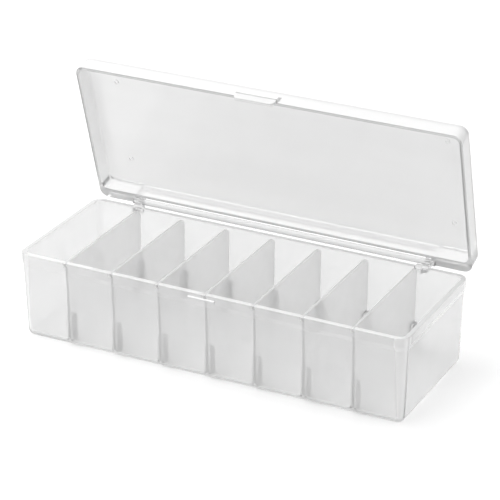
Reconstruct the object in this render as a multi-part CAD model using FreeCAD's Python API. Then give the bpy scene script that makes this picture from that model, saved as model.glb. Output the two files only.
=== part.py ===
import FreeCAD, Part
import math
import os
from FreeCAD import Vector

# Parts sorting tray: a clear plastic box with lift-out dividers and a lid hinged on a rod.
# Millimetres. X runs along the box, +Y to the hinge, +Z up.
# The origin is the centre of the tray's underside.

# Tray shell
RIM_LENGTH = 222.6
RIM_WIDTH = 81.9
TRAY_HEIGHT = 48.7
PLAN_RADIUS = 5.8
BAND_HEIGHT = 7.5
BAND_PROUD = 0.6
BAND_SLOPE = 2.6
WALL_DRAFT = 0.03
RIM_TOP_WIDTH = 2.4
FLOOR = 1.6
FLOOR_WALL = 1.6
FOOT_RADIUS = 3.2
CAVITY_RADIUS = 2.0
RIM_EDGE_RADIUS = 0.45

# Dividers and the channels that hold them
DIVIDER_COUNT = 7
DIVIDER_PITCH = 27.5
DIVIDER_THICKNESS = 1.3
DIVIDER_GAP = 0.3
DIVIDER_LIFT_GAP = 0.15
DIVIDER_REAR_RADIUS = 4.5
DIVIDER_FOOT_CHAMFER = 2.6
TAB_HEIGHT = 1.9
TAB_REACH = 0.6
NOTCH_CLEARANCE = 0.2
CHANNEL_HEIGHT = 16.0
CHANNEL_END_Y = 32.4
CHANNEL_SLOT = 1.6
CHANNEL_RIB = 1.0

# Front catch ridge on the tray
RIDGE_X = (-9.3, 5.9)
RIDGE_Z = (45.2, 46.5)
RIDGE_PROUD = 0.75

# Hinge
HINGE_Y = 45.6
HINGE_Z = 49.3
ROD_RADIUS = 1.75
ROD_HALF_LENGTH = 90.4
HOOK_X = (84.2, 88.0)
HOOK_CLEARANCE = 0.05
HOOK_OUTER_RADIUS = 2.95
HOOK_MOUTH = (40.0, 170.0)
HOOK_FOOT_Z = 44.6
HOOK_PAD_X = (81.4, 88.0)
HOOK_PAD_DEPTH = 1.4
HOOK_RECESS_X = (81.4, 85.6)
HOOK_RECESS_DEPTH = 1.4
HOOK_RECESS_Z = 47.3

# Lid, drawn shut and then swung to its rest angle
LID_OPEN_ANGLE = 74.5
LID_GAP = 0.25
LID_HALF_LENGTH = 111.2
LID_RADIUS = 5.2
LID_FRONT_Y = -40.7
LID_BACK_Y = 46.8
LID_DEPTH = 10.4
LID_DRAFT = 0.03
LID_WALL = 1.7
LID_PANEL = 1.5
LID_RIB_Y = (40.7, 42.3)
LID_CHEEK_X = 88.4
LID_TOP_RADIUS = 1.5
LID_INNER_RADIUS = 1.2
MARK_CENTRES = ((-92.7, -28.0), (-92.7, 23.4), (99.0, -29.2), (99.0, 22.9))
MARK_RADIUS = 1.4
MARK_WIDTH = 0.4
MARK_HEIGHT = 0.4

# Latch tab on the lid's front wall
LATCH_CENTRE_X = -2.1
LATCH_HALF_WIDTH = 11.7
LATCH_OUTER_Y = -43.25
LATCH_INNER_Y = -41.9
LATCH_TIP_Z = 44.1
LATCH_BEAD_Z = 44.8
LATCH_BEAD_Y = -41.3
LATCH_FACE_TOP_Z = 50.7
LATCH_ROOT_Z = 54.0
LATCH_CORNER = 2.6


def rounded_outline(x_half, y_low, y_high, radius, z):
    """Closed wire of a rectangle with rounded corners, level at height z."""
    corners = (
        (x_half - radius, y_low + radius, 270),
        (x_half - radius, y_high - radius, 0),
        (-x_half + radius, y_high - radius, 90),
        (-x_half + radius, y_low + radius, 180),
    )
    arcs = []
    for cx, cy, start in corners:
        points = []
        for angle in (start, start + 45, start + 90):
            turn = math.radians(angle)
            points.append(Vector(cx + radius * math.cos(turn), cy + radius * math.sin(turn), z))
        arcs.append((points[0], points[1], points[2]))
    edges = []
    for index, arc in enumerate(arcs):
        following = arcs[(index + 1) % 4]
        edges.append(Part.Arc(*arc).toShape())
        edges.append(Part.makeLine(arc[2], following[0]))
    return Part.Wire(edges)


def tapered_block(low, high):
    """Solid between two rounded outlines."""
    return Part.makeLoft([low, high], True, True)


def box_between(x_range, y_range, z_range):
    size = (x_range[1] - x_range[0], y_range[1] - y_range[0], z_range[1] - z_range[0])
    return Part.makeBox(size[0], size[1], size[2], Vector(x_range[0], y_range[0], z_range[0]))


def side_profile(points, x_low, x_high):
    """Polygon drawn in the YZ plane and extruded along X."""
    corners = [Vector(x_low, y, z) for y, z in points]
    outline = Part.makePolygon(corners + [corners[0]])
    return Part.Face(outline).extrude(Vector(x_high - x_low, 0, 0))


def rod_along_x(radius, x_low, x_high):
    return Part.makeCylinder(radius, x_high - x_low, Vector(x_low, HINGE_Y, HINGE_Z), Vector(1, 0, 0))


def edges_at_height(shape, z, test=None):
    """Edges lying wholly at height z."""
    found = []
    for edge in shape.Edges:
        box = edge.BoundBox
        if abs(box.ZMin - z) < 1e-4 and abs(box.ZMax - z) < 1e-4:
            if test is None or test(box):
                found.append(edge)
    return found


def wall_inner_y(z):
    """Distance of the long walls' inner faces from the centre line at height z."""
    low = RIM_WIDTH / 2 - BAND_PROUD - WALL_DRAFT * (TRAY_HEIGHT - BAND_HEIGHT) - FLOOR_WALL
    high = RIM_WIDTH / 2 - RIM_TOP_WIDTH
    return low + (high - low) * (z - FLOOR) / (TRAY_HEIGHT - FLOOR)


def divider_positions():
    middle = (DIVIDER_COUNT - 1) / 2
    return [(index - middle) * DIVIDER_PITCH for index in range(DIVIDER_COUNT)]


def tray_shell():
    x_rim = RIM_LENGTH / 2
    y_rim = RIM_WIDTH / 2
    band_z = TRAY_HEIGHT - BAND_HEIGHT
    inset = BAND_PROUD + WALL_DRAFT * band_z
    foot = rounded_outline(x_rim - inset, -y_rim + inset, y_rim - inset, PLAN_RADIUS - inset, 0)
    waist = rounded_outline(
        x_rim - BAND_PROUD, -y_rim + BAND_PROUD, y_rim - BAND_PROUD, PLAN_RADIUS - BAND_PROUD, band_z
    )
    body = tapered_block(foot, waist)
    body = body.makeFillet(FOOT_RADIUS, edges_at_height(body, 0))
    shoulder_z = band_z + BAND_SLOPE
    shoulder = rounded_outline(x_rim, -y_rim, y_rim, PLAN_RADIUS, shoulder_z)
    band = Part.Face(shoulder).extrude(Vector(0, 0, TRAY_HEIGHT - shoulder_z))
    slope = tapered_block(waist, shoulder)
    band = band.makeFillet(RIM_EDGE_RADIUS, edges_at_height(band, TRAY_HEIGHT))
    shell = body.fuse([slope, band]).removeSplitter()

    low_inset = inset + FLOOR_WALL
    high_inset = RIM_TOP_WIDTH
    cavity_low = rounded_outline(
        x_rim - low_inset, -y_rim + low_inset, y_rim - low_inset, PLAN_RADIUS - low_inset, FLOOR
    )
    cavity_high = rounded_outline(
        x_rim - high_inset, -y_rim + high_inset, y_rim - high_inset, PLAN_RADIUS - high_inset, TRAY_HEIGHT
    )
    cavity = tapered_block(cavity_low, cavity_high)
    cavity = cavity.makeFillet(CAVITY_RADIUS, edges_at_height(cavity, FLOOR))
    return shell.cut(cavity)


def channel_ribs(x):
    """Two upright ribs at each long wall that hold a divider's edges near the floor."""
    ribs = []
    half_slot = CHANNEL_SLOT / 2
    top = FLOOR + CHANNEL_HEIGHT
    for side in (-1, 1):
        profile = (
            (side * (wall_inner_y(FLOOR) + 0.6), FLOOR - 0.4),
            (side * CHANNEL_END_Y, FLOOR - 0.4),
            (side * CHANNEL_END_Y, top - 0.8),
            (side * (CHANNEL_END_Y + 0.8), top),
            (side * (wall_inner_y(top) + 0.6), top),
        )
        for start in (-half_slot - CHANNEL_RIB, half_slot):
            ribs.append(side_profile(profile, x + start, x + start + CHANNEL_RIB))
    return ribs


def hinge_hook(side):
    """Open-topped bearing on the back of the rim that holds the rod."""
    x_low = min(side * HOOK_X[0], side * HOOK_X[1])
    x_high = max(side * HOOK_X[0], side * HOOK_X[1])
    y_band = RIM_WIDTH / 2
    arm = side_profile(
        (
            (y_band - 0.5, HOOK_FOOT_Z),
            (y_band + 0.7, HOOK_FOOT_Z),
            (HINGE_Y + 2.1, HINGE_Z - 2.05),
            (HINGE_Y, HINGE_Z),
            (HINGE_Y - HOOK_OUTER_RADIUS, HINGE_Z - 0.2),
            (HINGE_Y - HOOK_OUTER_RADIUS, HINGE_Z - 2.0),
            (y_band - 0.5, TRAY_HEIGHT - 0.6),
        ),
        x_low,
        x_high,
    )
    ring = rod_along_x(HOOK_OUTER_RADIUS, x_low, x_high)
    hook = arm.fuse(ring).cut(rod_along_x(ROD_RADIUS + HOOK_CLEARANCE, x_low - 1, x_high + 1))
    reach = 8.0
    mouth_points = [(HINGE_Y, HINGE_Z)]
    for angle in (HOOK_MOUTH[0], sum(HOOK_MOUTH) / 2, HOOK_MOUTH[1]):
        turn = math.radians(angle)
        mouth_points.append((HINGE_Y + reach * math.cos(turn), HINGE_Z + reach * math.sin(turn)))
    return hook.cut(side_profile(mouth_points, x_low - 1, x_high + 1))


def hook_pad(side):
    """Thickened patch of the rim that the hook stands on."""
    x_low = min(side * HOOK_PAD_X[0], side * HOOK_PAD_X[1])
    x_high = max(side * HOOK_PAD_X[0], side * HOOK_PAD_X[1])
    y_band = RIM_WIDTH / 2
    profile = (
        (y_band - 0.6, HOOK_FOOT_Z),
        (y_band, HOOK_FOOT_Z),
        (y_band + HOOK_PAD_DEPTH, HOOK_FOOT_Z + 1.4),
        (y_band + HOOK_PAD_DEPTH, TRAY_HEIGHT),
        (y_band - 0.6, TRAY_HEIGHT),
    )
    return side_profile(profile, x_low, x_high)


def make_tray():
    tray = tray_shell()
    additions = []
    for x in divider_positions():
        additions.extend(channel_ribs(x))
    for side in (-1, 1):
        additions.append(hook_pad(side))
        additions.append(hinge_hook(side))
    y_front = -RIM_WIDTH / 2
    ridge = side_profile(
        (
            (y_front + 0.3, RIDGE_Z[0] - 0.2),
            (y_front, RIDGE_Z[0] - 0.2),
            (y_front - RIDGE_PROUD, RIDGE_Z[0] + 0.2),
            (y_front - RIDGE_PROUD, RIDGE_Z[1] - 0.5),
            (y_front, RIDGE_Z[1]),
            (y_front + 0.3, RIDGE_Z[1]),
        ),
        RIDGE_X[0],
        RIDGE_X[1],
    )
    additions.append(ridge)
    tray = tray.fuse(additions)

    cutters = []
    half_notch = DIVIDER_THICKNESS / 2 + NOTCH_CLEARANCE
    notch_z = TRAY_HEIGHT - TAB_HEIGHT - NOTCH_CLEARANCE
    for x in divider_positions():
        cutters.append(
            box_between(
                (x - half_notch, x + half_notch),
                (y_front - 1, y_front + RIM_TOP_WIDTH + 1),
                (notch_z, TRAY_HEIGHT + 1),
            )
        )
    y_inner = RIM_WIDTH / 2 - RIM_TOP_WIDTH
    for side in (-1, 1):
        x_low = min(side * HOOK_RECESS_X[0], side * HOOK_RECESS_X[1])
        x_high = max(side * HOOK_RECESS_X[0], side * HOOK_RECESS_X[1])
        cutters.append(
            box_between(
                (x_low, x_high), (y_inner - 1, y_inner + HOOK_RECESS_DEPTH), (HOOK_RECESS_Z, TRAY_HEIGHT + 1)
            )
        )
    return tray.cut(cutters).removeSplitter()


def make_divider(x):
    """Flat plate across the tray, with a tab that drops into a notch in the front rim."""
    z_low = FLOOR + DIVIDER_LIFT_GAP
    z_chamfer = z_low + DIVIDER_FOOT_CHAMFER
    z_tab = TRAY_HEIGHT - TAB_HEIGHT
    z_arc = TRAY_HEIGHT - DIVIDER_REAR_RADIUS
    y_foot = wall_inner_y(z_low) - DIVIDER_GAP - DIVIDER_FOOT_CHAMFER
    y_chamfer = wall_inner_y(z_chamfer) - DIVIDER_GAP
    y_tab_root = wall_inner_y(z_tab) - DIVIDER_GAP
    y_tab_end = RIM_WIDTH / 2 + TAB_REACH
    y_arc_low = wall_inner_y(z_arc) - DIVIDER_GAP
    y_arc_high = y_arc_low - DIVIDER_REAR_RADIUS
    x_low = x - DIVIDER_THICKNESS / 2
    half = math.sqrt(0.5) * DIVIDER_REAR_RADIUS
    arc_middle = Vector(x_low, y_arc_high + half, z_arc + half)
    path = [
        Vector(x_low, y_arc_high, TRAY_HEIGHT),
        Vector(x_low, -y_tab_end, TRAY_HEIGHT),
        Vector(x_low, -y_tab_end, z_tab),
        Vector(x_low, -y_tab_root, z_tab),
        Vector(x_low, -y_chamfer, z_chamfer),
        Vector(x_low, -y_foot, z_low),
        Vector(x_low, y_foot, z_low),
        Vector(x_low, y_chamfer, z_chamfer),
        Vector(x_low, y_arc_low, z_arc),
    ]
    edges = [Part.makeLine(path[index], path[index + 1]) for index in range(len(path) - 1)]
    edges.append(Part.Arc(path[-1], arc_middle, path[0]).toShape())
    return Part.Face(Part.Wire(edges)).extrude(Vector(DIVIDER_THICKNESS, 0, 0))


def latch_tab():
    """Snap tab on the lid's front wall, with a bead inside its tip."""
    blade = side_profile(
        (
            (LID_FRONT_Y + 0.8, LATCH_ROOT_Z),
            (LID_FRONT_Y - 0.1, LATCH_ROOT_Z),
            (LATCH_OUTER_Y, LATCH_FACE_TOP_Z),
            (LATCH_OUTER_Y, LATCH_TIP_Z),
            (LATCH_INNER_Y, LATCH_TIP_Z),
            (LATCH_BEAD_Y, LATCH_TIP_Z + 0.35),
            (LATCH_BEAD_Y, LATCH_BEAD_Z - 0.2),
            (LATCH_INNER_Y, LATCH_BEAD_Z),
            (LATCH_INNER_Y, TRAY_HEIGHT + LID_GAP),
            (LID_FRONT_Y + 0.8, TRAY_HEIGHT + LID_GAP),
        ),
        -LATCH_HALF_WIDTH,
        LATCH_HALF_WIDTH,
    )
    corner_cut = []
    for side in (-1, 1):
        block = box_between((0, LATCH_CORNER), (LATCH_OUTER_Y - 1, LATCH_BEAD_Y + 1), (0, LATCH_CORNER))
        block.translate(Vector(LATCH_HALF_WIDTH - LATCH_CORNER, 0, LATCH_TIP_Z))
        disc = Part.makeCylinder(
            LATCH_CORNER,
            LATCH_BEAD_Y - LATCH_OUTER_Y + 4,
            Vector(LATCH_HALF_WIDTH - LATCH_CORNER, LATCH_OUTER_Y - 2, LATCH_TIP_Z + LATCH_CORNER),
            Vector(0, 1, 0),
        )
        corner = block.cut(disc)
        if side < 0:
            corner = corner.mirror(Vector(0, 0, 0), Vector(1, 0, 0))
        corner_cut.append(corner)
    tab = blade.cut(corner_cut)
    tab.translate(Vector(LATCH_CENTRE_X, 0, 0))
    return tab


def make_lid():
    z_rim = TRAY_HEIGHT + LID_GAP
    z_top = z_rim + LID_DEPTH
    z_inner = z_top - LID_PANEL
    lean = LID_DRAFT * LID_DEPTH
    low = rounded_outline(LID_HALF_LENGTH, LID_FRONT_Y, LID_BACK_Y, LID_RADIUS, z_rim)
    high = rounded_outline(
        LID_HALF_LENGTH - lean, LID_FRONT_Y + lean, LID_BACK_Y - lean, LID_RADIUS - lean, z_top
    )
    lid = tapered_block(low, high)
    lid = lid.makeFillet(LID_TOP_RADIUS, edges_at_height(lid, z_top))

    inner_lean = LID_DRAFT * (LID_DEPTH - LID_PANEL)
    inner_radius = LID_RADIUS - LID_WALL
    hollow_low = rounded_outline(
        LID_HALF_LENGTH - LID_WALL, LID_FRONT_Y + LID_WALL, LID_RIB_Y[0], inner_radius, z_rim
    )
    hollow_high = rounded_outline(
        LID_HALF_LENGTH - LID_WALL - inner_lean,
        LID_FRONT_Y + LID_WALL + inner_lean,
        LID_RIB_Y[0] - inner_lean,
        inner_radius - inner_lean,
        z_inner,
    )
    hollow = tapered_block(hollow_low, hollow_high)
    hollow = hollow.makeFillet(LID_INNER_RADIUS, edges_at_height(hollow, z_inner))
    rod_bay = box_between(
        (-LID_CHEEK_X, LID_CHEEK_X), (LID_RIB_Y[1], LID_BACK_Y + 2), (z_rim - 1, z_inner)
    )
    socket = rod_along_x(ROD_RADIUS, -ROD_HALF_LENGTH, ROD_HALF_LENGTH)
    lid = lid.cut([hollow, rod_bay, socket])

    marks = []
    for x, y in MARK_CENTRES:
        foot = Vector(x, y, z_inner - MARK_HEIGHT)
        disc = Part.makeCylinder(MARK_RADIUS, MARK_HEIGHT + 0.3, foot)
        core = Part.makeCylinder(MARK_RADIUS - MARK_WIDTH, MARK_HEIGHT + 0.3, foot)
        marks.append(disc.cut(core))
    lid = lid.fuse([latch_tab()] + marks).removeSplitter()
    return swung_open(lid)


def swung_open(shape):
    """Turn a lid part from shut to its rest angle about the rod."""
    turned = shape.copy()
    turned.rotate(Vector(0, HINGE_Y, HINGE_Z), Vector(-1, 0, 0), LID_OPEN_ANGLE)
    return turned


def make_hinge_rod():
    rod = rod_along_x(ROD_RADIUS, -ROD_HALF_LENGTH, ROD_HALF_LENGTH)
    return swung_open(rod.makeChamfer(0.3, [edge for edge in rod.Edges if edge.BoundBox.XLength < 1e-4]))


def main():
    os.makedirs("parts", exist_ok=True)
    nodes = {
        "tray": make_tray(),
        "lid": make_lid(),
        "hinge_rod": make_hinge_rod(),
    }
    for index, x in enumerate(divider_positions(), start=1):
        nodes["divider_%d" % index] = make_divider(x)
    for name, shape in nodes.items():
        shape.exportStep("parts/%s.step" % name)
        print(name, shape.isValid(), len(shape.Solids), round(shape.Volume, 1))


main()
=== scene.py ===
import math

import bpy
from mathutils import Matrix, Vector

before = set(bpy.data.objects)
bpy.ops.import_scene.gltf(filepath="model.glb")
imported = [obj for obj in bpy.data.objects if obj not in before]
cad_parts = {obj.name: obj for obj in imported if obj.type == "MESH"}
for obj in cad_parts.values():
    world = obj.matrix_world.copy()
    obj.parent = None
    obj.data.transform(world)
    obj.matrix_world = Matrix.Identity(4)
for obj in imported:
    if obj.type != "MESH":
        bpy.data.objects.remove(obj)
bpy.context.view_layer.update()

# ---------------------------------------------------------------- camera
AZIMUTH = math.radians(27.014)
ELEVATION = math.radians(24.987)
CAMERA_DISTANCE = 1.15413
CAMERA_TARGET = Vector((0.00522, 0.0, 0.05788))
CAMERA_LENS = 160.26
CAMERA_SENSOR = 36.0


def make_camera():
    data = bpy.data.cameras.new("camera")
    data.lens = CAMERA_LENS
    data.sensor_width = CAMERA_SENSOR
    data.clip_start = 0.01
    data.clip_end = 50.0
    camera = bpy.data.objects.new("camera", data)
    bpy.context.scene.collection.objects.link(camera)
    across = math.cos(ELEVATION)
    back = Vector((math.sin(AZIMUTH) * across, -math.cos(AZIMUTH) * across, math.sin(ELEVATION)))
    camera.location = CAMERA_TARGET + back * CAMERA_DISTANCE
    camera.rotation_euler = (-back).to_track_quat("-Z", "Y").to_euler()
    bpy.context.scene.camera = camera


# ---------------------------------------------------------------- studio
# name, place, what it points at, width and height, watts
LAMPS = (
    ("top_softbox", (-0.55, 0.10, 1.3), (0, 0, 0), (0.8, 0.8), 7.6),
    ("front_softbox", (-0.45, -0.60, 1.2), (0, 0, 0), (0.7, 0.7), 4.8),
    ("back_softbox", (-0.75, 1.55, 0.82), (0, 0, 0.05), (1.3, 0.5), 1.4),
)
FRONT_GLOW = 0.47
BACK_GLOW = 0.85
FLOOR_HALF = 4.0
FLOOR_DROP = 0.0002
CLEAR_BOUNCES = 32  # light crosses many clear walls on its way out of the tray
GLOSS_BOUNCES = 8


def make_lamp(name, place, target, size, watts):
    data = bpy.data.lights.new(name, "AREA")
    data.shape = "RECTANGLE"
    data.size, data.size_y = size
    data.energy = watts
    lamp = bpy.data.objects.new(name, data)
    bpy.context.scene.collection.objects.link(lamp)
    lamp.location = place
    lamp.rotation_euler = (Vector(target) - Vector(place)).to_track_quat("-Z", "Y").to_euler()


def make_world():
    """A pale studio that glows more behind the table than in front of it."""
    world = bpy.data.worlds.new("studio")
    bpy.context.scene.world = world
    world.use_nodes = True
    nodes = world.node_tree.nodes
    links = world.node_tree.links
    direction = nodes.new("ShaderNodeTexCoord")
    axes = nodes.new("ShaderNodeSeparateXYZ")
    links.new(direction.outputs["Generated"], axes.inputs["Vector"])
    glow = nodes.new("ShaderNodeMapRange")
    glow.inputs["From Min"].default_value = -0.9
    glow.inputs["From Max"].default_value = 0.6
    glow.inputs["To Min"].default_value = FRONT_GLOW
    glow.inputs["To Max"].default_value = BACK_GLOW
    links.new(axes.outputs["Y"], glow.inputs["Value"])
    links.new(glow.outputs["Result"], nodes["Background"].inputs["Color"])


def make_floor():
    mesh = bpy.data.meshes.new("floor")
    corners = [(x * FLOOR_HALF, y * FLOOR_HALF, 0) for x, y in ((-1, -1), (1, -1), (1, 1), (-1, 1))]
    mesh.from_pydata(corners, [], [(0, 1, 2, 3)])
    floor = bpy.data.objects.new("floor", mesh)
    bpy.context.scene.collection.objects.link(floor)
    floor.location.z = -FLOOR_DROP
    material = bpy.data.materials.new("studio_floor")
    material.use_nodes = True
    shader = material.node_tree.nodes["Principled BSDF"]
    shader.inputs["Base Color"].default_value = (0.97, 0.97, 0.97, 1)
    shader.inputs["Roughness"].default_value = 0.8
    shader.inputs["Specular IOR Level"].default_value = 0.1
    mesh.materials.append(material)


def make_studio():
    make_world()
    for lamp in LAMPS:
        make_lamp(*lamp)
    make_floor()
    scene = bpy.context.scene
    scene.view_settings.view_transform = "Standard"
    scene.cycles.max_bounces = CLEAR_BOUNCES
    scene.cycles.transmission_bounces = CLEAR_BOUNCES
    scene.cycles.transparent_max_bounces = CLEAR_BOUNCES
    scene.cycles.glossy_bounces = GLOSS_BOUNCES


# ---------------------------------------------------------------- places on the object
RIM_HEIGHT = 0.0487
HINGE_Y = 0.0456
HINGE_Z = 0.0493
LEAN = math.radians(74.5)
TABLE_ZONE = 0.05  # the lid's haze starts to rise above this height, painted shade on the upper lid
LID_TOP = 0.13
SOFT = 0.0003  # the width over which one kind of skin fades into the next

UP = (0, 0, 1)
DOWN = (0, 0, -1)
FRONT = (0, -1, 0)
LID_RIM = (0, -math.sin(LEAN), -math.cos(LEAN))
LID_HINGE = -HINGE_Y * math.sin(LEAN) - HINGE_Z * math.cos(LEAN)

# Bands of rubbed wear and painted light and shade: a direction, how far along it the band starts, and its
# width.
# rim and divider tops: rubbed and made hazy so the lamps light them white, partly wear and partly a
# painted highlight
TOP_EDGE = (UP, RIM_HEIGHT - 0.0005, 0.0010)
# the tray's foot and four corners: paler, hazier bands, painted light that lifts the dark lines along
# these edges
TRAY_FOOT = (DOWN, -0.0030, 0.0040)
DIAGONAL = math.sqrt(0.5)
TRAY_CORNERS = [((x * DIAGONAL, y * DIAGONAL, 0), 0.1030, 0.0040) for x in (-1, 1) for y in (-1, 1)]
# the lid's rim: a darker band, a painted shade line along the rim
LID_EDGE_SHADE = (LID_RIM, LID_HINGE + 0.0001, 0.0010)
# the rod's top: a paler, hazier band, a painted highlight along the rod
ROD_TOP_HIGHLIGHT = (UP, HINGE_Z + 0.0013, 0.0010)
# the dividers' front ends and feet: hazier bands, painted light lines
DIVIDER_FRONT = (FRONT, 0.0360, 0.0060)
DIVIDER_FOOT = (DOWN, -0.0030, 0.0020)

# The channel ribs at both ends of each divider, as distances from the middle of the tray.
RIB_START_Y = 0.0320
RIB_END_Y = 0.0372
RIB_END_X = 0.1000
RIB_TOP = 0.0176
RIB_FOOT = 0.0018
# painted shade on the ribs: their darker grey and extra haze
RIB_SHADE_GREY = 0.68
RIB_SHADE_HAZE = 0.55

# ---------------------------------------------------------------- materials
REFRACTION = 1.49
SHADOW_LIGHT = 0.80


def grey(value):
    return (value, value, value, 1)


class Skin:
    """Short ways to add shader nodes to one material."""

    def __init__(self, material):
        self.nodes = material.node_tree.nodes
        self.links = material.node_tree.links
        self.place = self.new("TexCoord").outputs["Object"]

    def new(self, kind):
        return self.nodes.new("ShaderNode" + kind)

    def noise(self, scale, detail, stretch=(1, 1, 1)):
        mapping = self.new("Mapping")
        mapping.inputs["Scale"].default_value = stretch
        self.links.new(self.place, mapping.inputs["Vector"])
        noise = self.new("TexNoise")
        noise.inputs["Scale"].default_value = scale
        noise.inputs["Detail"].default_value = detail
        self.links.new(mapping.outputs["Vector"], noise.inputs["Vector"])
        return noise.outputs["Fac"]

    def remap(self, value, start, end, low, high):
        node = self.new("MapRange")
        node.inputs["From Min"].default_value = start
        node.inputs["From Max"].default_value = end
        node.inputs["To Min"].default_value = low
        node.inputs["To Max"].default_value = high
        self.links.new(value, node.inputs["Value"])
        return node.outputs["Result"]

    def after(self, value, start):
        """0 before start, 1 after it."""
        return self.remap(value, start, start + SOFT, 0.0, 1.0)

    def before(self, value, end):
        """1 before end, 0 after it."""
        return self.remap(value, end, end + SOFT, 1.0, 0.0)

    def combine(self, operation, first, second):
        node = self.new("Math")
        node.operation = operation
        self.links.new(first, node.inputs[0])
        self.links.new(second, node.inputs[1])
        return node.outputs["Value"]

    def distance(self, direction):
        node = self.new("VectorMath")
        node.operation = "DOT_PRODUCT"
        node.inputs[1].default_value = direction
        self.links.new(self.place, node.inputs[0])
        return node.outputs["Value"]

    def blend(self, kind, factor, first, second):
        """Mix colours (kind RGBA) or numbers (kind FLOAT), each a value or a socket."""
        node = self.new("Mix")
        node.data_type = kind
        sockets = [socket for socket in node.inputs if socket.enabled]
        self.links.new(factor, sockets[0])
        for socket, value in zip(sockets[1:], (first, second)):
            if isinstance(value, bpy.types.NodeSocket):
                self.links.new(value, socket)
            else:
                socket.default_value = value
        return next(socket for socket in node.outputs if socket.enabled)

    def wear_and_painted_light(self, edges):
        """1 in any of the bands of rubbed wear and painted light and shade, 0 elsewhere."""
        mask = None
        for direction, start, width in edges:
            along = self.distance(direction)
            band = self.combine("MULTIPLY", self.after(along, start), self.before(along, start + width))
            mask = band if mask is None else self.combine("MAXIMUM", mask, band)
        return mask

    def ribs(self):
        """1 on the channel ribs, 0 elsewhere."""
        middle = self.new("VectorMath")
        middle.operation = "ABSOLUTE"
        self.links.new(self.place, middle.inputs[0])
        axes = self.new("SeparateXYZ")
        self.links.new(middle.outputs["Vector"], axes.inputs["Vector"])
        mask = self.after(axes.outputs["Y"], RIB_START_Y)
        for axis, end in (("Y", RIB_END_Y), ("X", RIB_END_X), ("Z", RIB_TOP)):
            mask = self.combine("MULTIPLY", mask, self.before(axes.outputs[axis], end))
        return self.combine("MULTIPLY", mask, self.after(axes.outputs["Z"], RIB_FOOT))


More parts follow.
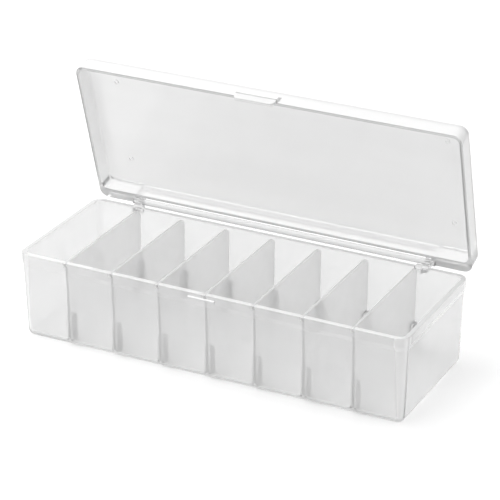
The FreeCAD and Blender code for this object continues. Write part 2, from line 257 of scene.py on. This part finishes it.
def clear_plastic(name, tone, haze, density, flow_scale, edges, edge_tone, edge_haze, ribs=False):
    """Moulded clear plastic: hazy skin with flow streaks, scuffs, and edge bands of rubbed wear and
    painted light and shade.

    haze is a pair, for the table's height and for the top of the open lid; where they differ, the rise is
    painted shade that darkens the upper lid. density is the plastic's own grey, which shows where a ray
    runs along a wall.
    """
    material = bpy.data.materials.new(name)
    material.use_nodes = True
    skin = Skin(material)
    shader = skin.nodes["Principled BSDF"]
    output = skin.nodes["Material Output"]
    shader.inputs["IOR"].default_value = REFRACTION

    # slow streaks where the plastic flowed along the mould
    flow = skin.remap(skin.noise(flow_scale, 3.0, (0.25, 1.0, 1.0)), 0.3, 0.7, 0.0, 1.0)
    streaks = skin.blend("RGBA", flow, grey(tone * 0.98), grey(tone * 1.01))
    # edge bands of rubbed wear and painted light and shade: their own tone and haze replace the body's
    wear_and_painted_light = skin.wear_and_painted_light(edges)
    colour = skin.blend("RGBA", wear_and_painted_light, streaks, grey(edge_tone))
    # haze rising with height: painted shade that darkens the upper part of the open lid
    height = skin.distance(UP)
    clearness = skin.remap(height, TABLE_ZONE, LID_TOP, 1 - haze[0], 1 - haze[1])
    clearness = skin.blend("FLOAT", wear_and_painted_light, clearness, 1 - edge_haze)
    # painted shade: the channel ribs get a darker grey and more haze
    if ribs:
        mask = skin.ribs()
        colour = skin.blend("RGBA", mask, colour, grey(RIB_SHADE_GREY))
        clearness = skin.blend("FLOAT", mask, clearness, 1 - RIB_SHADE_HAZE)
    skin.links.new(colour, shader.inputs["Base Color"])

    # haze lies on the outer skin; light already inside the wall meets clear plastic
    side = skin.new("NewGeometry")
    through = skin.new("MapRange")
    skin.links.new(side.outputs["Backfacing"], through.inputs["Value"])
    skin.links.new(clearness, through.inputs["To Min"])
    skin.links.new(through.outputs["Result"], shader.inputs["Transmission Weight"])

    # handling scuffs in the gloss, and a very fine ripple from the mould
    scuffs = skin.noise(230.0, 5.0)
    skin.links.new(skin.remap(scuffs, 0.35, 0.75, 0.035, 0.10), shader.inputs["Roughness"])
    bump = skin.new("Bump")
    bump.inputs["Strength"].default_value = 0.04
    bump.inputs["Distance"].default_value = 0.0004
    skin.links.new(scuffs, bump.inputs["Height"])
    skin.links.new(bump.outputs["Normal"], shader.inputs["Normal"])

    # lamps shine through the thin walls, so the floor under the tray stays pale
    path = skin.new("LightPath")
    open_way = skin.new("BsdfTransparent")
    open_way.inputs["Color"].default_value = grey(SHADOW_LIGHT)
    mix = skin.new("MixShader")
    skin.links.new(path.outputs["Is Shadow Ray"], mix.inputs["Fac"])
    skin.links.new(shader.outputs["BSDF"], mix.inputs[1])
    skin.links.new(open_way.outputs["BSDF"], mix.inputs[2])
    skin.links.new(mix.outputs["Shader"], output.inputs["Surface"])
    tint = skin.new("VolumeAbsorption")
    tint.inputs["Color"].default_value = grey(0.0)
    tint.inputs["Density"].default_value = density
    skin.links.new(tint.outputs["Volume"], output.inputs["Volume"])
    return material


def paint(node, material):
    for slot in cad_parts[node].material_slots:
        slot.material = material


def paint_tray():
    # tray: rim tops lit white as a partly painted highlight, foot and corners made paler as painted light
    edges = [TOP_EDGE, TRAY_FOOT] + TRAY_CORNERS
    paint("tray", clear_plastic("tray_plastic", 0.90, (0.36, 0.36), 5, 60.0, edges, 0.86, 0.72, ribs=True))


def paint_lid():
    # the dark edge tone paints a shade line along the lid's rim
    paint("lid", clear_plastic("lid_plastic", 0.90, (0.50, 0.80), 8, 45.0, [LID_EDGE_SHADE], 0.58, 0.65))


def paint_rod():
    # the paler edge tone paints a highlight along the rod's top
    paint("hinge_rod", clear_plastic("rod_plastic", 0.84, (0.34, 0.34), 45, 90.0, [ROD_TOP_HIGHLIGHT], 0.90, 0.40))


def paint_dividers():
    # dividers: hazier bands at the tops, front ends and feet paint light lines there
    edges = [TOP_EDGE, DIVIDER_FRONT, DIVIDER_FOOT]
    plastic = clear_plastic("divider_plastic", 0.94, (0.56, 0.56), 2, 75.0, edges, 0.94, 0.60)
    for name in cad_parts:
        if name.startswith("divider_"):
            paint(name, plastic)


make_camera()
make_studio()
paint_tray()
paint_lid()
paint_rod()
paint_dividers()
